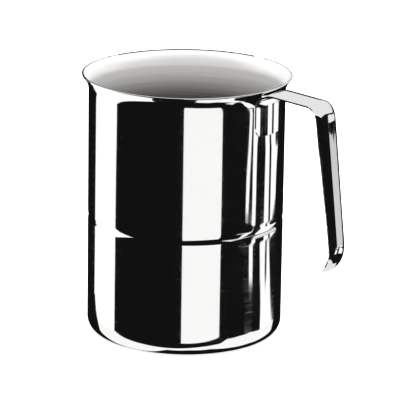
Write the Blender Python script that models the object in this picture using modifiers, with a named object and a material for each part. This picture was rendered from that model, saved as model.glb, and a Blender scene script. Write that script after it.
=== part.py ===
"""Candle melting pot: a deep-drawn steel vessel with a flared rim, a rolled level line and a
rounded foot, and a bent strap handle that is spot-welded to the wall under the rim.

Frame: +Z up, origin at the centre of the flat base, handle along +X. Units are metres.
Run with: blender --background --python part.py
"""

import math

import bmesh
import bpy
from mathutils import Matrix, Vector

# Vessel
BODY_RADIUS = 0.050
HEIGHT = 0.1352
WALL = 0.0008
CORNER_RADIUS = 0.0068
FLARE_RADIUS = 0.0105
FLARE_ANGLE = math.radians(48)
LEVEL_LINE_HEIGHT = 0.0606
LEVEL_LINE_DEPTH = 0.0006
LEVEL_LINE_ABOVE = 0.0029
LEVEL_LINE_BELOW = 0.0019
VESSEL_SIDES = 72

# Strap handle, drawn as its mid-surface
STRAP = 0.0010
CLEARANCE = 0.0003
TAB_FOOT_HEIGHT = 0.1115
TAB_LENGTH = 0.0155
TAB_CORNER = 0.0050
TIP_CORNER = 0.0015
ROOT_BEND_RADIUS = 0.0072
ROOT_BEND = math.radians(94.4)
ARM_LENGTH = 0.0194
GRIP_BEND_RADIUS = 0.0101
GRIP_BEND = math.radians(79)
GRIP_LENGTH = 0.0615
CURL_RADIUS = 0.0169
CURL = math.radians(54.5)
TAB_WIDTH = 0.0216
ARM_WIDTH = 0.0160
GRIP_TOP_WIDTH = 0.0164
GRIP_END_WIDTH = 0.0134
ARM_CAMBER = 0.0005
GRIP_TOP_CAMBER = 0.0032
GRIP_END_CAMBER = 0.0022
TIP_CAMBER = 0.0010
STRAP_WIDTHS = (
    TAB_WIDTH, TAB_WIDTH, ARM_WIDTH, ARM_WIDTH, GRIP_TOP_WIDTH, GRIP_END_WIDTH, GRIP_END_WIDTH,
)
STRAP_STRIPS = 8

# Spot welds between the tab and the wall
WELD_RADIUS = 0.00225
WELD_SPREAD = 0.0050
WELD_HEIGHTS = (0.1160, 0.1235)
WELD_BITE = 0.0004
WELD_TAB_BITE = 0.0005

STEEL = (0.78, 0.77, 0.76)
WELD_STEEL = (0.62, 0.60, 0.58)


def clear_scene():
    for old in list(bpy.data.objects):
        bpy.data.objects.remove(old, do_unlink=True)


def new_collection(name):
    collection = bpy.data.collections.new(name)
    bpy.context.scene.collection.children.link(collection)
    return collection


def metal(name, colour, roughness):
    material = bpy.data.materials.new(name)
    material.use_nodes = True
    shader = material.node_tree.nodes["Principled BSDF"]
    shader.inputs["Base Color"].default_value = (*colour, 1.0)
    shader.inputs["Metallic"].default_value = 1.0
    shader.inputs["Roughness"].default_value = roughness
    return material


def mesh_object(name, vertices, edges, faces, collection, material=None):
    mesh = bpy.data.meshes.new(name)
    mesh.from_pydata(vertices, edges, faces)
    obj = bpy.data.objects.new(name, mesh)
    collection.objects.link(obj)
    if material:
        mesh.materials.append(material)
    return obj


def arc(centre_x, centre_z, radius, start, end, count):
    """Points of a circular arc in the XZ plane, angles from +X towards +Z, both ends included."""
    points = []
    for step in range(count + 1):
        angle = start + (end - start) * step / count
        points.append((centre_x + radius * math.cos(angle), centre_z + radius * math.sin(angle)))
    return points


def dent_radius(length):
    """Radius of the arc that leaves the wall tangentially and is LEVEL_LINE_DEPTH in after that length."""
    return (length**2 + LEVEL_LINE_DEPTH**2) / (2 * LEVEL_LINE_DEPTH)


def vessel_profile():
    """Outer side of the vessel, from the lip down the wall to the centre of the base."""
    flare_foot = HEIGHT - (FLARE_RADIUS + WALL) * math.sin(FLARE_ANGLE)
    flare_x = BODY_RADIUS + FLARE_RADIUS
    above = dent_radius(LEVEL_LINE_ABOVE)
    below = dent_radius(LEVEL_LINE_BELOW)
    above_turn = math.asin(LEVEL_LINE_ABOVE / above)
    below_turn = math.asin(LEVEL_LINE_BELOW / below)
    points = arc(flare_x, flare_foot, FLARE_RADIUS, math.pi - FLARE_ANGLE, math.pi, 8)
    points += arc(BODY_RADIUS - above, LEVEL_LINE_HEIGHT + LEVEL_LINE_ABOVE, above, 0, -above_turn, 4)
    points += arc(BODY_RADIUS - below, LEVEL_LINE_HEIGHT - LEVEL_LINE_BELOW, below, below_turn, 0, 4)[1:]
    points += arc(BODY_RADIUS - CORNER_RADIUS, CORNER_RADIUS, CORNER_RADIUS, 0, -math.pi / 2, 9)
    points.append((0.0, 0.0))
    return points


def add_vessel(collection, material):
    points = vessel_profile()
    vertices = [(x, 0.0, z) for x, z in points]
    edges = [(index, index + 1) for index in range(len(points) - 1)]
    vessel = mesh_object("vessel", vertices, edges, [], collection, material)
    turn = vessel.modifiers.new("turn", "SCREW")
    turn.axis = "Z"
    turn.steps = VESSEL_SIDES
    turn.render_steps = VESSEL_SIDES
    turn.use_merge_vertices = True
    turn.merge_threshold = 0.00001
    turn.use_smooth_shade = True
    wall = vessel.modifiers.new("wall", "SOLIDIFY")
    wall.thickness = WALL
    wall.offset = -1
    wall.use_even_offset = True
    return vessel


def strap_segments():
    """The strap's centreline as (length, clockwise turn) runs, from the foot of the tab to the tip."""
    return (
        (TAB_LENGTH, 0.0),
        (ROOT_BEND_RADIUS * ROOT_BEND, ROOT_BEND),
        (ARM_LENGTH, 0.0),
        (GRIP_BEND_RADIUS * GRIP_BEND, GRIP_BEND),
        (GRIP_LENGTH, 0.0),
        (CURL_RADIUS * CURL, CURL),
    )


def advance(point, heading, length, turn):
    """The point and heading after a run of that length, which turns clockwise by turn."""
    if turn == 0.0:
        return point + length * Vector((math.cos(heading), math.sin(heading))), heading
    radius = length / turn
    centre = point + radius * Vector((math.sin(heading), -math.cos(heading)))
    heading -= turn
    return centre + radius * Vector((-math.sin(heading), math.cos(heading))), heading


def strap_point(distance):
    """Place in the XZ plane and heading of the centreline at a distance from the foot of the tab."""
    point = Vector((BODY_RADIUS + CLEARANCE + STRAP / 2, TAB_FOOT_HEIGHT))
    heading = math.pi / 2
    for length, turn in strap_segments():
        run = min(distance, length)
        point, heading = advance(point, heading, run, turn * run / length)
        distance -= run
        if distance <= 0.0:
            break
    return point, heading


def strap_stations():
    """Distances along the strap: close together at the cut ends and in the bends."""
    stations = [TAB_CORNER * (1 - math.cos(step * math.pi / 12)) for step in range(6)]
    start = 0.0
    for length, turn in strap_segments():
        first = max(start, TAB_CORNER)
        last = start + length
        count = max(4, math.ceil(math.degrees(turn) / 9))
        stations += [first + (last - first) * step / count for step in range(count)]
        start += length
    stations = [station for station in stations if station < start - TIP_CORNER]
    stations += [start - TIP_CORNER * math.cos(step * math.pi / 8) for step in range(5)]
    return stations


def along_strap(distance, values):
    """Value at a distance, eased between one value at each end of the strap's runs."""
    start = 0.0
    for (length, _), first, last in zip(strap_segments(), values, values[1:]):
        if distance <= start + length:
            share = max(0.0, (distance - start) / length)
            share = share * share * (3 - 2 * share)
            return first + (last - first) * share
        start += length
    return values[-1]


def rounded_half_width(distance, total):
    """Half the strap's width, with rounded corners at its two cut ends."""
    half = along_strap(distance, STRAP_WIDTHS) / 2
    for corner, from_end in ((TAB_CORNER, distance), (TIP_CORNER, total - distance)):
        if from_end < corner:
            half -= corner - math.sqrt(max(0.0, corner**2 - (corner - from_end) ** 2))
    return half


def add_handle(collection, material):
    """A strap whose tab is curved to the vessel's wall and whose arm and grip are crowned outwards."""
    mid_radius = BODY_RADIUS + CLEARANCE + STRAP / 2
    tab_camber = math.sqrt(mid_radius**2 - (TAB_WIDTH / 2) ** 2) - mid_radius
    cambers = (
        tab_camber, tab_camber, ARM_CAMBER, ARM_CAMBER, GRIP_TOP_CAMBER, GRIP_END_CAMBER, TIP_CAMBER,
    )
    total = sum(length for length, _ in strap_segments())
    vertices = []
    faces = []
    stations = strap_stations()
    for row, distance in enumerate(stations):
        point, heading = strap_point(distance)
        crown = Vector((-math.sin(heading), math.cos(heading)))
        full_half = along_strap(distance, STRAP_WIDTHS) / 2
        half = rounded_half_width(distance, total)
        camber = along_strap(distance, cambers)
        for strip in range(STRAP_STRIPS + 1):
            across = half * (2 * strip / STRAP_STRIPS - 1)
            sunk = point - crown * camber * (across / full_half) ** 2
            vertices.append((sunk.x, across, sunk.y))
        if row:
            first = (row - 1) * (STRAP_STRIPS + 1)
            for strip in range(STRAP_STRIPS):
                corner = first + strip
                over = corner + STRAP_STRIPS + 1
                faces.append((corner, over, over + 1, corner + 1))
    handle = mesh_object("handle", vertices, [], faces, collection, material)
    handle.data.shade_smooth()
    sheet = handle.modifiers.new("sheet", "SOLIDIFY")
    sheet.thickness = STRAP
    sheet.offset = 0
    sheet.use_even_offset = True
    return handle


def weld_places():
    """The turn about the vessel's axis and the height of each spot weld."""
    turn = math.asin(WELD_SPREAD / BODY_RADIUS)
    return [(side * turn, height) for height in WELD_HEIGHTS for side in (-1, 1)]


def add_disc(name, radius, inner, outer, turn, height, collection, material=None):
    """A round disc whose axis points away from the vessel's axis, between two distances from it."""
    mesh = bpy.data.meshes.new(name)
    shape = bmesh.new()
    bmesh.ops.create_cone(
        shape, cap_ends=True, segments=24, radius1=radius, radius2=radius, depth=outer - inner
    )
    shape.to_mesh(mesh)
    shape.free()
    mesh.transform(
        Matrix.Translation(((inner + outer) / 2, 0.0, 0.0)) @ Matrix.Rotation(math.pi / 2, 4, "Y")
    )
    disc = bpy.data.objects.new(name, mesh)
    disc.rotation_euler.z = turn
    disc.location.z = height
    collection.objects.link(disc)
    if material:
        mesh.materials.append(material)
    return disc


def add_welds(collection, cutters, pieces, material):
    """Each weld nugget sits in a shallow seat that is half in the wall and half in the tab."""
    inner = BODY_RADIUS - WELD_BITE
    outer = BODY_RADIUS + CLEARANCE + WELD_TAB_BITE
    for number, (turn, height) in enumerate(weld_places(), start=1):
        add_disc(
            f"weld_nugget_{number}", WELD_RADIUS, inner + CLEARANCE, outer - CLEARANCE, turn, height,
            collection, material,
        )
        seat = add_disc(
            f"weld_seat_{number}", WELD_RADIUS + CLEARANCE, inner, outer, turn, height, cutters
        )
        seat.hide_render = True
        seat.display_type = "WIRE"
        for piece in pieces:
            cut = piece.modifiers.new(seat.name, "BOOLEAN")
            cut.operation = "DIFFERENCE"
            cut.object = seat


def main():
    clear_scene()
    pot = new_collection("candle_melting_pot")
    cutters = new_collection("cutters")
    steel = metal("polished_steel", STEEL, 0.08)
    weld_steel = metal("weld_steel", WELD_STEEL, 0.35)
    vessel = add_vessel(pot, steel)
    handle = add_handle(pot, steel)
    add_welds(pot, cutters, (vessel, handle), weld_steel)


main()
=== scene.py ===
import math

import bpy
from mathutils import Matrix, Vector


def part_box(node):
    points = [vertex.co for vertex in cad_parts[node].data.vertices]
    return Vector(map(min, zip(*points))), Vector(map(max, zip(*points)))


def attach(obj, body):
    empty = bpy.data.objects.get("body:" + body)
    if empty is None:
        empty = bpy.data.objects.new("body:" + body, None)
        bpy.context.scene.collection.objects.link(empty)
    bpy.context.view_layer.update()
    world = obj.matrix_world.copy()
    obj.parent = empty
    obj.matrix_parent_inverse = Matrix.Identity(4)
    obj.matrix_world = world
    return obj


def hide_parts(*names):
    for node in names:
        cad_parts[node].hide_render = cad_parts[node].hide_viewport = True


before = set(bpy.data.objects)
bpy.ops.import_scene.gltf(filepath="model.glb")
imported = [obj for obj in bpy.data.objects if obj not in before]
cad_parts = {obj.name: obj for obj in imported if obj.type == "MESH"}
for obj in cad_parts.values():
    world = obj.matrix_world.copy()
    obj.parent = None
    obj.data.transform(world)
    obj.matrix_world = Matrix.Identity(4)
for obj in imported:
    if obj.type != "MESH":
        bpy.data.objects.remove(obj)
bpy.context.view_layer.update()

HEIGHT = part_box("vessel")[1].z
HANDLE_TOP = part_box("handle")[1].z

# Vessel, in metres
BODY_RADIUS = 0.050
WALL = 0.0008
CORNER_RADIUS = 0.0068
FLARE_FOOT = HEIGHT - 0.0084
FLARE_BEND_RADIUS = 0.0102
FLARE_CONE = 0.00223
FLARE_ANGLE = math.radians(36.6)
LIP_ROUND = 0.0003
LIP_FACE = 0.00045
LIP_LEAN = math.radians(10)
LEVEL_LINE_HEIGHT = 0.0606
LEVEL_LINE_DEPTH = 0.0006
LEVEL_LINE_ABOVE = 0.0029
LEVEL_LINE_BELOW = 0.0019

# Vessel's mesh: its sides, the steps along each part of its profile, and how close counts as equal
VESSEL_SIDES = 288
FLARE_BEND_STEPS = 24
FLARE_CONE_STEPS = 6
LIP_STEPS = 9
LEVEL_LINE_STEPS = 10
UPPER_WALL_STEPS = 24
LOWER_WALL_STEPS = 20
CORNER_STEPS = 20
BASE_STEPS = 14
NEAR = 0.00001

# Strap handle: its mid-surface, from the foot of the tab to the tip
STRAP = 0.0010
CLEARANCE = 0.0003
TAB_FOOT_HEIGHT = HANDLE_TOP - 0.0232
TAB_LENGTH = 0.0155
TAB_CORNER = 0.0050
TIP_CORNER = 0.0015
ROOT_BEND_RADIUS = 0.0072
ROOT_BEND = math.radians(94.4)
ARM_LENGTH = 0.0194
GRIP_BEND_RADIUS = 0.0101
GRIP_BEND = math.radians(79)
GRIP_LENGTH = 0.0615
CURL_RADIUS = 0.0169
CURL = math.radians(54.5)
TAB_WIDTH = 0.0216
ARM_WIDTH = 0.0160
GRIP_TOP_WIDTH = 0.0164
GRIP_END_WIDTH = 0.0134
ARM_CAMBER = 0.0012
GRIP_TOP_CAMBER = 0.0032
GRIP_END_CAMBER = 0.0022
TIP_CAMBER = 0.0010
STRAP_WIDTHS = (
    TAB_WIDTH, TAB_WIDTH, ARM_WIDTH, ARM_WIDTH, GRIP_TOP_WIDTH, GRIP_END_WIDTH, GRIP_END_WIDTH,
)

# Handle's mesh: strips across it, steps round a quarter turn of its end corners, steps along each
# of its segments, and its rounded edge
STRAP_STRIPS = 20
TAB_CORNER_STEPS = 12
TIP_CORNER_STEPS = 8
SEGMENT_STEPS = 10
DEGREES_A_STEP = 3
EDGE_ROUND = 0.00032
EDGE_SEGMENTS = 3
EDGE_ANGLE = math.radians(50)

# Steel: the range most of a noise texture lies in, colours, and depths of surface detail
NOISE_RANGE = (0.3, 0.7)
POLISHED_TONES = ((0.925, 0.918, 0.905), (0.96, 0.955, 0.945))
WELD_TONES = ((0.60, 0.58, 0.56), (0.66, 0.57, 0.44))
WAVINESS = 0.00004
POLISH_DEPTH = 0.0000004
SATIN_DEPTH = 0.000003
WELD_GRAIN_DEPTH = 0.00002

# The satin inside: how metallic it is, and the heights where its colour is darkest and lightest. The dark
# colour lower down is painted shade deep inside the vessel.
SATIN_METALLIC = 0.40
SATIN_PAINTED_SHADE_HEIGHT = 0.108
SATIN_BRIGHT_HEIGHT = 0.127
SATIN_PAINTED_SHADE = (0.13, 0.12, 0.112)
SATIN_BRIGHT = (0.98, 0.975, 0.965)

# Camera: its azimuth round the pot, and its place and aim seen from there
CAMERA_AZIMUTH = math.radians(35.4)
CAMERA_ASIDE = 0.00737
CAMERA_BACK = 1.475
CAMERA_HEIGHT = 0.49415
CAMERA_PITCH = math.radians(16.10)
CAMERA_ROLL = math.radians(0.905)
CAMERA_LENS = 270.0
CAMERA_SENSOR = 36.0
CAMERA_REACH = (0.05, 50.0)

# Studio: levels of its cards and lights, how far away the cards stand, and the floor and its lamp
WHITE_LEVEL = 1.0
WORLD_LEVEL = 1.08
BLACK_LEVEL = 0.006
HAZE_LEVEL = 0.83
GRIP_HAZE_LEVEL = 0.66
HAZE_DISTANCE = 41.0
CARD_DISTANCE = 40.0
WINDOW_DISTANCE = 39.0
CARD_COLUMNS = 24
CARD_ROW_DEGREES = 3
FLOOR_REACH = 6.0
FLOOR_GLOW = 0.7
FLOOR_LIGHT = 60.0
LAMP_SIZE = 3.0
LAMP_HEIGHT = 2.0

# Each card is a stack of rows: elevation, left azimuth and right azimuth in degrees, seen from the
# pot, with azimuth 0 towards the camera and growing to the picture's right.
BLACK_CARDS = {
    "front": (
        (58, -45, 45), (46, -72, 52), (31, -73, 54), (20, -74, 57), (0, -80, 57), (-13.89, -88.5, 57),
        (-13.9, -88.5, 80), (-14.9, -89, 78), (-15.6, -89.5, 75.5), (-16.4, -90, 75),
        (-19, -90.5, 77), (-35, -91, 77.5), (-50, -89, 87), (-65, -84, 90), (-90, -84, 90),
    ),
    "left": (
        (20, -180, -129), (0, -180, -127), (-13, -180, -131), (-19, -180, -134),
        (-24, -180, -137), (-27, -180, -150),
    ),
    "bend": (
        (31, 78, 88), (29, 72, 95), (27, 67, 101), (24, 61, 109), (21.5, 57.5, 114),
        (20.5, 56, 93), (15, 53, 89), (10, 50, 86), (0, 45, 83.5), (-13.89, 45, 83),
    ),
    "bend_line": (
        (22, 104, 114), (18, 111, 120), (14, 117.5, 125.5), (10, 124, 133), (6, 132, 142), (2, 141, 149),
    ),
    "grip_top": (
        (-3, 83, 86), (-4.5, 83, 105), (-5, 83, 111), (-5.45, 89, 115), (-6.8, 105, 125),
        (-8.8, 124, 139), (-10.1, 136, 147), (-11.7, 150, 153),
    ),
    "stripe_1": (
        (-13.9, 83.5, 85.5), (-14.89, 82, 85), (-14.9, 82, 85), (-15.3, 81, 85), (-15.9, 80, 85),
        (-16.36, 79, 85), (-16.38, 74, 85), (-16.6, 74, 84.8), (-16.85, 74, 81.2), (-17.65, 74, 82.5),
        (-17.68, 74, 102), (-18.3, 75, 103), (-19, 76, 102),
    ),
    "stripe_2": (
        (-13.9, 92, 105.5), (-14.89, 92, 105.5), (-14.9, 91, 106.5), (-16.6, 90.7, 106),
        (-16.85, 87, 99), (-17.68, 87.8, 101),
    ),
    "stripe_2_low": (
        (-19, 88, 101), (-25, 88, 101.5), (-35, 89, 104), (-40, 90, 110), (-43, 91, 125),
        (-47, 91, 150), (-52, 97, 150), (-58, 103, 150), (-64, 115, 150),
    ),
    "stripe_3": (
        (-13.9, 113.5, 117.5), (-14.89, 113.5, 117.5), (-14.9, 114.5, 119), (-16.6, 115, 119),
        (-16.85, 109, 113), (-17.66, 110, 113.5),
    ),
    "right": (
        (9, 160, 184), (5, 148, 184), (-6, 143, 184), (-9, 140, 182), (-12, 139, 180),
        (-13.9, 128, 180), (-14.89, 128, 180), (-14.9, 137, 180), (-15.5, 138.5, 180),
        (-15.9, 133, 180), (-16.3, 126, 180), (-16.5, 122, 180), (-16.85, 117.5, 180),
        (-17.6, 121.5, 180), (-18.2, 125, 180), (-18.5, 130, 180), (-18.8, 138, 180),
        (-36, 136, 180), (-45, 140, 180), (-64, 140, 180),
    ),
    "rim": ((17.5, 177.6, 184.5), (10, 177.6, 184.5)),
}
WINDOW = ((-6, -2.8, 42.4), (-18, -2.8, 42.6), (-30, -3, 44), (-41, -3, 45.5), (-48, -3, 0))

GROOVE_DARK = ((33, 94, 124), (-14, 94, 124))
GROOVE_DISTANCE = 0.075
HAZE = ((75, 58, 205), (-2, 58, 205))
GRIP_HAZE = ((-4, 80, 152), (-13.4, 80, 152))

# Cards close to the tip of the handle. The dark one's rows are seen from the tip. The tray is a
# rectangle under it: (outwards, sideways) in metres.
TIP_CENTRE = Vector((0.0895, 0.0, 0.0545))
TIP_DARK = (
    (-14, 38, 132), (-20, 45, 132), (-34, 58, 129), (-41, 70, 124), (-47, 84, 112), (-49, 88, 100),
)
TIP_DARK_DISTANCE = 0.020
TRAY = ((-0.004, -0.014), (0.032, -0.014), (0.032, 0.014), (-0.004, 0.014))
TRAY_DROP = 0.012
TRAY_SLOPE = math.radians(-16.8)
TRAY_AZIMUTH = math.radians(73)

# What the foot mirrors: a dark strip in front of the pot, a white plate under it, and the shade
# under its edge. Corners are metres to the picture's right of the pot's axis and towards the camera.
PLATE = (
    (-0.062, 0.036), (-0.045, 0.047), (-0.025, 0.051), (0.0, 0.0545), (0.025, 0.0585), (0.042, 0.060),
    (0.054, 0.050), (0.063, 0.039), (0.066, 0.027), (0.072, 0.0), (0.060, -0.060), (0.0, -0.080),
    (-0.060, -0.060), (-0.072, 0.0),
)
DARK_STRIP = (
    (-0.062, 0.030), (-0.062, 0.066), (-0.020, 0.071), (0.0, 0.071), (0.042, 0.069), (0.060, 0.045),
)
SHADE = (
    (-0.100, -0.028), (-0.080, -0.005), (-0.069, 0.008), (-0.060, 0.016), (-0.050, 0.022), (-0.040, 0.029),
    (-0.028, 0.037), (-0.015, 0.045), (-0.009, 0.050), (0.003, 0.051), (0.016, 0.049), (0.026, 0.043),
    (0.036, 0.0355), (0.044, 0.027), (0.052, 0.018), (0.062, 0.008), (0.075, -0.008), (0.095, -0.030),
    (0.070, -0.070), (-0.070, -0.070),
)
DARK_STRIP_HEIGHT = 0.00005
PLATE_HEIGHT = 0.0001
SHADE_HEIGHT = 0.0002


def mesh_object(name, vertices, faces, materials=()):
    mesh = bpy.data.meshes.new(name)
    mesh.from_pydata(vertices, [], faces)
    mesh.update()
    for material in materials:
        mesh.materials.append(material)
    obj = bpy.data.objects.new(name, mesh)
    bpy.context.scene.collection.objects.link(obj)
    return obj


def arc(centre_x, centre_z, radius, start, end, count):
    points = []
    for step in range(count + 1):
        angle = start + (end - start) * step / count
        points.append((centre_x + radius * math.cos(angle), centre_z + radius * math.sin(angle)))
    return points


def straight(start, end, count):
    """Points after start, up to and including end."""
    points = []
    for step in range(1, count + 1):
        share = step / count
        points.append((start[0] + (end[0] - start[0]) * share, start[1] + (end[1] - start[1]) * share))
    return points


def dent_radius(length):
    """Radius of the arc that falls by the level line's depth over that length."""
    return (length**2 + LEVEL_LINE_DEPTH**2) / (2 * LEVEL_LINE_DEPTH)


# ---------------------------------------------------------------- vessel

def flare_side(inset):
    """The flare from its rim down to its foot: a straight cone and the bend under it."""
    bend = arc(
        BODY_RADIUS + FLARE_BEND_RADIUS, FLARE_FOOT, FLARE_BEND_RADIUS + inset,
        math.pi - FLARE_ANGLE, math.pi, FLARE_BEND_STEPS,
    )
    x, z = bend[0]
    rim = (x + FLARE_CONE * math.sin(FLARE_ANGLE), z + FLARE_CONE * math.cos(FLARE_ANGLE))
    return [rim] + straight(rim, bend[0], FLARE_CONE_STEPS) + bend[1:]


def level_line_side(inset):
    """The rolled line around the wall, from its top edge to its bottom edge."""
    above = dent_radius(LEVEL_LINE_ABOVE)
    below = dent_radius(LEVEL_LINE_BELOW)
    top = LEVEL_LINE_HEIGHT + LEVEL_LINE_ABOVE
    bottom = LEVEL_LINE_HEIGHT - LEVEL_LINE_BELOW
    upper = arc(
        BODY_RADIUS - above, top, above - inset,
        0, -math.asin(LEVEL_LINE_ABOVE / above), LEVEL_LINE_STEPS,
    )
    lower = arc(
        BODY_RADIUS - below, bottom, below - inset,
        math.asin(LEVEL_LINE_BELOW / below), 0, LEVEL_LINE_STEPS,
    )
    middle = ((upper[-1][0] + lower[0][0]) / 2, LEVEL_LINE_HEIGHT)
    return upper[:-1] + [middle] + lower[1:]


def vessel_side(inset):
    """One side of the vessel's sheet, from the rim to the base's centre, inset from the outside."""
    points = flare_side(inset)
    line = level_line_side(inset)
    points += straight(points[-1], line[0], UPPER_WALL_STEPS) + line[1:]
    points += straight(points[-1], (BODY_RADIUS - inset, CORNER_RADIUS), LOWER_WALL_STEPS)
    foot = arc(
        BODY_RADIUS - CORNER_RADIUS, CORNER_RADIUS, CORNER_RADIUS - inset,
        0, -math.pi / 2, CORNER_STEPS,
    )
    return points + foot[1:] + straight(foot[-1], (0.0, inset), BASE_STEPS)


def lip_points(outer):
    """The rounded outer edge of the rim, which is ground flat on top."""
    centre_x = outer[0] - LIP_ROUND * math.cos(FLARE_ANGLE)
    return arc(centre_x, HEIGHT - LIP_ROUND, LIP_ROUND, math.pi / 2, -FLARE_ANGLE, LIP_STEPS)[:-1]


def trimmed_inside(inner):
    """The inside, cut off at the foot of the lip's polished inner face, and that face's top corner."""
    foot_height = HEIGHT - LIP_FACE
    top = inner[0]
    foot = (top[0] - (top[1] - foot_height) * math.tan(FLARE_ANGLE), foot_height)
    below = [point for point in inner if point[1] < foot_height - NEAR]
    return [foot] + below, (foot[0] + LIP_FACE * math.tan(LIP_LEAN), HEIGHT)


def turned_mesh(profile, satin_rings):
    """A profile turned round the pot's axis. Its ends lie on the axis, and slot 1 is the satin."""
    rings = profile[1:-1]
    vertices = []
    for x, z in rings:
        for side in range(VESSEL_SIDES):
            angle = 2 * math.pi * side / VESSEL_SIDES
            vertices.append((x * math.cos(angle), x * math.sin(angle), z))
    inner_centre = len(vertices)
    outer_centre = inner_centre + 1
    last = inner_centre - VESSEL_SIDES
    vertices += [(0.0, 0.0, profile[0][1]), (0.0, 0.0, profile[-1][1])]
    sides = [(side, (side + 1) % VESSEL_SIDES) for side in range(VESSEL_SIDES)]
    faces = []
    slots = []
    for ring in range(len(rings) - 1):
        low = ring * VESSEL_SIDES
        high = low + VESSEL_SIDES
        faces += [(low + side, high + side, high + after, low + after) for side, after in sides]
        slots += [1 if ring < satin_rings else 0] * VESSEL_SIDES
    for side, after in sides:
        faces += [(inner_centre, side, after), (outer_centre, last + after, last + side)]
        slots += [1, 0]
    return vertices, faces, slots


def build_vessel(materials):
    outer = vessel_side(0.0)
    inner, lip_top = trimmed_inside(vessel_side(WALL))
    profile = list(reversed(inner)) + [lip_top] + lip_points(outer[0]) + outer
    vertices, faces, slots = turned_mesh(profile, len(inner) - 2)
    vessel = mesh_object("vessel_body", vertices, faces, materials)
    vessel.data.polygons.foreach_set("material_index", slots)
    vessel.data.shade_smooth()
    crease_ring(vessel.data, *inner[0])
    crease_ring(vessel.data, *lip_top)
    crease_ring(vessel.data, BODY_RADIUS - LEVEL_LINE_DEPTH, LEVEL_LINE_HEIGHT)
    return vessel


def crease_ring(mesh, radius, height):
    """The ring of edges at that radius and height is a sharp corner."""
    on_ring = [
        abs(vertex.co.xy.length - radius) < NEAR and abs(vertex.co.z - height) < NEAR
        for vertex in mesh.vertices
    ]
    for edge in mesh.edges:
        first, second = edge.vertices
        if on_ring[first] and on_ring[second]:
            edge.use_edge_sharp = True


# ---------------------------------------------------------------- handle

def strap_segments():
    """Length and turn of the tab, root bend, arm, grip bend, grip and curl."""
    return (
        (TAB_LENGTH, 0.0),
        (ROOT_BEND_RADIUS * ROOT_BEND, ROOT_BEND),
        (ARM_LENGTH, 0.0),
        (GRIP_BEND_RADIUS * GRIP_BEND, GRIP_BEND),
        (GRIP_LENGTH, 0.0),
        (CURL_RADIUS * CURL, CURL),
    )


def advance(point, heading, length, turn):
    """Where a straight or an arc of that length and turn ends, and its heading there."""
    if turn == 0.0:
        return point + length * Vector((math.cos(heading), math.sin(heading))), heading
    radius = length / turn
    centre = point + radius * Vector((math.sin(heading), -math.cos(heading)))
    heading -= turn
    return centre + radius * Vector((-math.sin(heading), math.cos(heading))), heading


def strap_point(distance):
    """The mid-surface's (x, z) and heading at that distance from the foot of the tab."""
    point = Vector((BODY_RADIUS + CLEARANCE + STRAP / 2, TAB_FOOT_HEIGHT))
    heading = math.pi / 2
    for length, turn in strap_segments():
        run = min(distance, length)
        point, heading = advance(point, heading, run, turn * run / length)
        distance -= run
        if distance <= 0.0:
            break
    return point, heading


def strap_stations():
    """Distances of the mesh's rows, which are closer together round the end corners."""
    tab_step = math.pi / 2 / TAB_CORNER_STEPS
    tip_step = math.pi / 2 / TIP_CORNER_STEPS
    stations = [TAB_CORNER * (1 - math.cos(step * tab_step)) for step in range(TAB_CORNER_STEPS)]
    start = 0.0
    for length, turn in strap_segments():
        first = max(start, TAB_CORNER)
        last = start + length
        count = max(SEGMENT_STEPS, math.ceil(math.degrees(turn) / DEGREES_A_STEP))
        stations += [first + (last - first) * step / count for step in range(count)]
        start += length
    stations = [station for station in stations if station < start - TIP_CORNER]
    stations += [start - TIP_CORNER * math.cos(step * tip_step) for step in range(TIP_CORNER_STEPS + 1)]
    return stations


def along_strap(distance, values):
    """A value that eases from one segment's end to the next."""
    start = 0.0
    for (length, _), first, last in zip(strap_segments(), values, values[1:]):
        if distance <= start + length:
            share = max(0.0, (distance - start) / length)
            share = share * share * (3 - 2 * share)
            return first + (last - first) * share
        start += length
    return values[-1]


def rounded_half_width(distance, total):
    """Half the strap's width there, narrowed by the rounded corners at its ends."""
    half = along_strap(distance, STRAP_WIDTHS) / 2
    for corner, from_end in ((TAB_CORNER, distance), (TIP_CORNER, total - distance)):
        if from_end < corner:
            half -= corner - math.sqrt(max(0.0, corner**2 - (corner - from_end) ** 2))
    return half


def build_handle(material):
    mid_radius = BODY_RADIUS + CLEARANCE + STRAP / 2
    tab_camber = math.sqrt(mid_radius**2 - (TAB_WIDTH / 2) ** 2) - mid_radius
    cambers = (
        tab_camber, tab_camber, ARM_CAMBER, ARM_CAMBER, GRIP_TOP_CAMBER, GRIP_END_CAMBER, TIP_CAMBER,
    )
    total = sum(length for length, _ in strap_segments())
    vertices = []
    faces = []
    for row, distance in enumerate(strap_stations()):
        point, heading = strap_point(distance)
        crown = Vector((-math.sin(heading), math.cos(heading)))
        full_half = along_strap(distance, STRAP_WIDTHS) / 2
        half = rounded_half_width(distance, total)
        camber = along_strap(distance, cambers)
        for strip in range(STRAP_STRIPS + 1):
            across = half * (2 * strip / STRAP_STRIPS - 1)
            sunk = point - crown * camber * (across / full_half) ** 2
            vertices.append((sunk.x, across, sunk.y))
        if row:
            first = (row - 1) * (STRAP_STRIPS + 1)
            for strip in range(STRAP_STRIPS):
                corner = first + strip
                over = corner + STRAP_STRIPS + 1
                faces.append((corner, over, over + 1, corner + 1))
    handle = mesh_object("strap_handle", vertices, faces, [material])
    handle.data.shade_smooth()
    sheet = handle.modifiers.new("sheet", "SOLIDIFY")
    sheet.thickness = STRAP
    sheet.offset = 0
    sheet.use_even_offset = True
    edge = handle.modifiers.new("edge", "BEVEL")
    edge.width = EDGE_ROUND
    edge.segments = EDGE_SEGMENTS
    edge.limit_method = "ANGLE"
    edge.angle_limit = EDGE_ANGLE
    edge.harden_normals = True
    return handle


# ---------------------------------------------------------------- materials

def new_material(name):
    material = bpy.data.materials.new(name)
    material.use_nodes = True
    tree = material.node_tree
    return material, tree, tree.nodes["Principled BSDF"]


def link(tree, source, target):
    tree.links.new(source, target)


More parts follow.
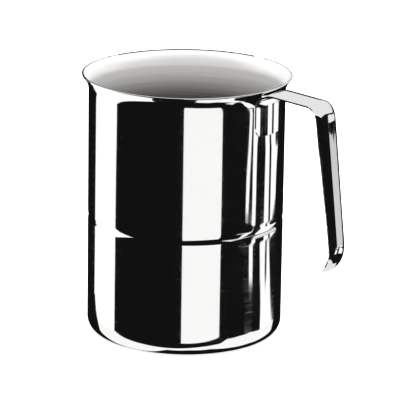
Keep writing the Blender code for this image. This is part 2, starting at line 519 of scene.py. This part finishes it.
def stretched_noise(tree, stretch, detail=2.0):
    """Noise in the object's own space. A large stretch along an axis gives fine lines across it."""
    place = tree.nodes.new("ShaderNodeTexCoord")
    mapping = tree.nodes.new("ShaderNodeMapping")
    mapping.inputs["Scale"].default_value = stretch
    noise = tree.nodes.new("ShaderNodeTexNoise")
    noise.inputs["Scale"].default_value = 1.0
    noise.inputs["Detail"].default_value = detail
    link(tree, place.outputs["Object"], mapping.inputs["Vector"])
    link(tree, mapping.outputs["Vector"], noise.inputs["Vector"])
    return noise.outputs["Fac"]


def remap(tree, value, low, high, to_low, to_high, fade="LINEAR"):
    node = tree.nodes.new("ShaderNodeMapRange")
    node.interpolation_type = fade
    node.inputs["From Min"].default_value = low
    node.inputs["From Max"].default_value = high
    node.inputs["To Min"].default_value = to_low
    node.inputs["To Max"].default_value = to_high
    link(tree, value, node.inputs["Value"])
    return node.outputs["Result"]


def combine(tree, operation, first, second):
    node = tree.nodes.new("ShaderNodeMath")
    node.operation = operation
    link(tree, first, node.inputs[0])
    link(tree, second, node.inputs[1])
    return node.outputs["Value"]


def blend_colours(tree, share, first, second):
    node = tree.nodes.new("ShaderNodeMix")
    node.data_type = "RGBA"
    node.inputs["A"].default_value = (*first, 1.0)
    node.inputs["B"].default_value = (*second, 1.0)
    link(tree, share, node.inputs["Factor"])
    return node.outputs["Result"]


def bump(tree, height, distance, normal=None):
    node = tree.nodes.new("ShaderNodeBump")
    node.inputs["Strength"].default_value = 1.0
    node.inputs["Distance"].default_value = distance
    link(tree, height, node.inputs["Height"])
    if normal:
        link(tree, normal, node.inputs["Normal"])
    return node.outputs["Normal"]


def polished_steel(name, lines, scratches):
    """Mirror-polished steel with faint lines, hairline scratches, handling marks and worn edges."""
    material, tree, shader = new_material(name)
    shader.inputs["Metallic"].default_value = 1.0
    polish = stretched_noise(tree, lines)
    hairlines = remap(tree, stretched_noise(tree, scratches, detail=0.0), 0.70, 0.76, 0.0, 0.10)
    marks = remap(tree, stretched_noise(tree, (70.0, 70.0, 55.0), 4.0), 0.52, 0.75, 0.0, 0.03)
    edges = tree.nodes.new("ShaderNodeNewGeometry").outputs["Pointiness"]
    wear = remap(tree, edges, 0.53, 0.60, 0.0, 0.06)
    rough = remap(tree, polish, *NOISE_RANGE, 0.02, 0.045)
    for extra in (hairlines, marks, wear):
        rough = combine(tree, "ADD", rough, extra)
    link(tree, rough, shader.inputs["Roughness"])
    tone = blend_colours(tree, stretched_noise(tree, (45.0, 45.0, 30.0)), *POLISHED_TONES)
    link(tree, tone, shader.inputs["Base Color"])
    wavy = bump(tree, stretched_noise(tree, (38.0, 38.0, 26.0), 1.0), WAVINESS)
    link(tree, bump(tree, polish, POLISH_DEPTH, wavy), shader.inputs["Normal"])
    return material


def satin_steel(name):
    """Satin steel brushed round the vessel's axis. Its colour is much darker lower down, a painted shade
    deep inside the vessel.
    """
    material, tree, shader = new_material(name)
    shader.inputs["Metallic"].default_value = SATIN_METALLIC
    shader.inputs["Anisotropic"].default_value = 0.6
    tangent = tree.nodes.new("ShaderNodeTangent")
    tangent.direction_type = "RADIAL"
    tangent.axis = "Z"
    link(tree, tangent.outputs["Tangent"], shader.inputs["Tangent"])
    brushing = stretched_noise(tree, (25.0, 25.0, 2200.0), 3.0)
    patches = stretched_noise(tree, (60.0, 60.0, 90.0), 3.0)
    brushed = remap(tree, brushing, *NOISE_RANGE, 0.34, 0.44)
    patchy = remap(tree, patches, *NOISE_RANGE, 0.0, 0.06)
    link(tree, combine(tree, "ADD", brushed, patchy), shader.inputs["Roughness"])
    place = tree.nodes.new("ShaderNodeTexCoord")
    split = tree.nodes.new("ShaderNodeSeparateXYZ")
    link(tree, place.outputs["Object"], split.inputs["Vector"])
    # Painted shade: the colour darkens from near the rim towards the bottom of the inside, with the
    # brushing streaks laid over it.
    depth = remap(
        tree, split.outputs["Z"], SATIN_PAINTED_SHADE_HEIGHT, SATIN_BRIGHT_HEIGHT, 0.0, 1.0, "SMOOTHSTEP"
    )
    streaks = remap(tree, brushing, *NOISE_RANGE, -0.06, 0.06)
    shade = combine(tree, "ADD", depth, streaks)
    tone = blend_colours(tree, shade, SATIN_PAINTED_SHADE, SATIN_BRIGHT)
    link(tree, tone, shader.inputs["Base Color"])
    link(tree, bump(tree, brushing, SATIN_DEPTH), shader.inputs["Normal"])
    return material


def weld_steel(name):
    """The dull grey skin of a spot weld, with straw-coloured heat tint."""
    material, tree, shader = new_material(name)
    shader.inputs["Metallic"].default_value = 1.0
    tint = stretched_noise(tree, (900.0, 900.0, 900.0), 3.0)
    grain = stretched_noise(tree, (6000.0, 6000.0, 6000.0), 2.0)
    tone = blend_colours(tree, tint, *WELD_TONES)
    link(tree, tone, shader.inputs["Base Color"])
    link(tree, remap(tree, grain, *NOISE_RANGE, 0.30, 0.48), shader.inputs["Roughness"])
    link(tree, bump(tree, grain, WELD_GRAIN_DEPTH), shader.inputs["Normal"])
    return material


def plain(name, colour, roughness):
    material, tree, shader = new_material(name)
    shader.inputs["Base Color"].default_value = (*colour, 1.0)
    shader.inputs["Roughness"].default_value = roughness
    return material


def glow(name, level):
    material = bpy.data.materials.new(name)
    material.use_nodes = True
    tree = material.node_tree
    tree.nodes.clear()
    output = tree.nodes.new("ShaderNodeOutputMaterial")
    light = tree.nodes.new("ShaderNodeEmission")
    light.inputs["Color"].default_value = (level, level, level, 1.0)
    link(tree, light.outputs["Emission"], output.inputs["Surface"])
    return material


# ---------------------------------------------------------------- studio

def towards(azimuth, elevation):
    """A direction from the pot; azimuth 0 is towards the camera and grows to the picture's right."""
    turned = azimuth + CAMERA_AZIMUTH
    return Vector((
        math.sin(turned) * math.cos(elevation),
        -math.cos(turned) * math.cos(elevation),
        math.sin(elevation),
    ))


def stage_card(obj):
    """Only reflections see a card."""
    obj.visible_camera = False
    obj.visible_diffuse = False
    obj.visible_shadow = False
    obj.visible_transmission = False


def card_rows(rows):
    """The given rows, with more in between where two stand far apart."""
    steps = []
    for (high, high_left, high_right), (low, low_left, low_right) in zip(rows, rows[1:]):
        count = max(1, math.ceil((high - low) / CARD_ROW_DEGREES))
        for step in range(count):
            share = step / count
            steps.append((
                high + (low - high) * share,
                high_left + (low_left - high_left) * share,
                high_right + (low_right - high_right) * share,
            ))
    return steps + [rows[-1]]


def sky_card(name, rows, material, distance=CARD_DISTANCE, centre=Vector((0.0, 0.0, HEIGHT / 2))):
    """A card on a sphere round a centre. Rows of (elevation, left, right) in degrees, downwards."""
    vertices = []
    faces = []
    for row, (elevation, left, right) in enumerate(card_rows(rows)):
        for column in range(CARD_COLUMNS + 1):
            azimuth = left + (right - left) * column / CARD_COLUMNS
            aim = towards(math.radians(azimuth), math.radians(elevation))
            vertices.append(centre + distance * aim)
        if row:
            for column in range(CARD_COLUMNS):
                corner = row * (CARD_COLUMNS + 1) + column
                over = corner - CARD_COLUMNS - 1
                faces.append((corner, corner + 1, over + 1, over))
    stage_card(mesh_object(name, vertices, faces, [material]))


def low_card(name, outline, height, material):
    """A flat card near the floor. Its corners are (right, towards the camera) in metres."""
    ahead = towards(0.0, 0.0)
    aside = towards(math.pi / 2, 0.0)
    vertices = [aside * right + ahead * near + Vector((0.0, 0.0, height)) for right, near in outline]
    stage_card(mesh_object(name, vertices, [range(len(outline))], [material]))


def tray_card(material):
    """A card under the handle's tip. It lies along the rays from the wall, which hardly mirrors it."""
    along = towards(TRAY_AZIMUTH, TRAY_SLOPE)
    across = towards(TRAY_AZIMUTH + math.pi / 2, 0.0)
    middle = TIP_CENTRE - Vector((0.0, 0.0, TRAY_DROP))
    vertices = [middle + along * out + across * side for out, side in TRAY]
    stage_card(mesh_object("tray_card", vertices, [(0, 1, 2, 3)], [material]))


def build_studio():
    black = glow("black_card", BLACK_LEVEL)
    white = glow("white_card", WHITE_LEVEL)
    for name, rows in BLACK_CARDS.items():
        sky_card(f"{name}_card", rows, black)
    sky_card("window_card", WINDOW, white, WINDOW_DISTANCE)
    sky_card("tip_dark_card", TIP_DARK, black, TIP_DARK_DISTANCE, TIP_CENTRE)
    sky_card("groove_card", GROOVE_DARK, black, GROOVE_DISTANCE)
    haze = glow("haze_card", HAZE_LEVEL)
    sky_card("haze_card", HAZE, haze, HAZE_DISTANCE)
    sky_card("grip_haze_card", GRIP_HAZE, glow("grip_haze_card", GRIP_HAZE_LEVEL), HAZE_DISTANCE)
    tray_card(haze)
    low_card("dark_strip_card", DARK_STRIP, DARK_STRIP_HEIGHT, black)
    low_card("plate_card", PLATE, PLATE_HEIGHT, white)
    low_card("shade_card", SHADE, SHADE_HEIGHT, black)


def build_floor():
    floor_material = plain("pale_floor", (0.95, 0.95, 0.95), 0.9)
    shader = floor_material.node_tree.nodes["Principled BSDF"]
    shader.inputs["Emission Color"].default_value = (1.0, 1.0, 1.0, 1.0)
    shader.inputs["Emission Strength"].default_value = FLOOR_GLOW
    corners = [(x * FLOOR_REACH, y * FLOOR_REACH, 0.0) for x, y in ((-1, -1), (1, -1), (1, 1), (-1, 1))]
    floor = mesh_object("floor", corners, [(0, 1, 2, 3)], [floor_material])
    floor.visible_glossy = False
    light = bpy.data.lights.new("floor_light", "AREA")
    light.size = LAMP_SIZE
    light.energy = FLOOR_LIGHT
    lamp = bpy.data.objects.new("floor_light", light)
    lamp.location = (0.0, 0.0, LAMP_HEIGHT)
    lamp.visible_glossy = False
    lamp.visible_camera = False
    bpy.context.scene.collection.objects.link(lamp)


def build_world():
    world = bpy.data.worlds.new("studio")
    world.use_nodes = True
    background = world.node_tree.nodes["Background"]
    background.inputs["Color"].default_value = (1.0, 1.0, 1.0, 1.0)
    background.inputs["Strength"].default_value = WORLD_LEVEL
    bpy.context.scene.world = world
    bpy.context.scene.view_settings.view_transform = "Standard"


def build_camera():
    camera = bpy.data.cameras.new("camera")
    camera.lens = CAMERA_LENS
    camera.sensor_width = CAMERA_SENSOR
    camera.clip_start, camera.clip_end = CAMERA_REACH
    obj = bpy.data.objects.new("camera", camera)
    bpy.context.scene.collection.objects.link(obj)
    forward = Vector((0.0, math.cos(CAMERA_PITCH), -math.sin(CAMERA_PITCH)))
    right = Vector((1.0, 0.0, 0.0))
    up = right.cross(forward)
    rolled_right = right * math.cos(CAMERA_ROLL) + up * math.sin(CAMERA_ROLL)
    rolled_up = up * math.cos(CAMERA_ROLL) - right * math.sin(CAMERA_ROLL)
    pose = Matrix((rolled_right, rolled_up, -forward)).transposed().to_4x4()
    pose.translation = Vector((CAMERA_ASIDE, -CAMERA_BACK, CAMERA_HEIGHT))
    obj.matrix_world = Matrix.Rotation(CAMERA_AZIMUTH, 4, "Z") @ pose
    bpy.context.scene.camera = obj


# ---------------------------------------------------------------- assembly

outside = polished_steel(
    "polished_steel_outside", lines=(30.0, 30.0, 2600.0), scratches=(22.0, 22.0, 9000.0)
)
inside = satin_steel("satin_steel_inside")
strap_steel = polished_steel(
    "polished_steel_strap", lines=(70.0, 3200.0, 70.0), scratches=(40.0, 9000.0, 40.0)
)
nugget_steel = weld_steel("weld_steel_tinted")

vessel = build_vessel([outside, inside])
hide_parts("vessel")
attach(vessel, "root")

handle = build_handle(strap_steel)
handle.visible_glossy = False
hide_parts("handle")
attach(handle, "root")

for number in range(1, 5):
    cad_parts[f"weld_nugget_{number}"].material_slots[0].material = nugget_steel

build_world()
build_floor()
build_studio()
build_camera()
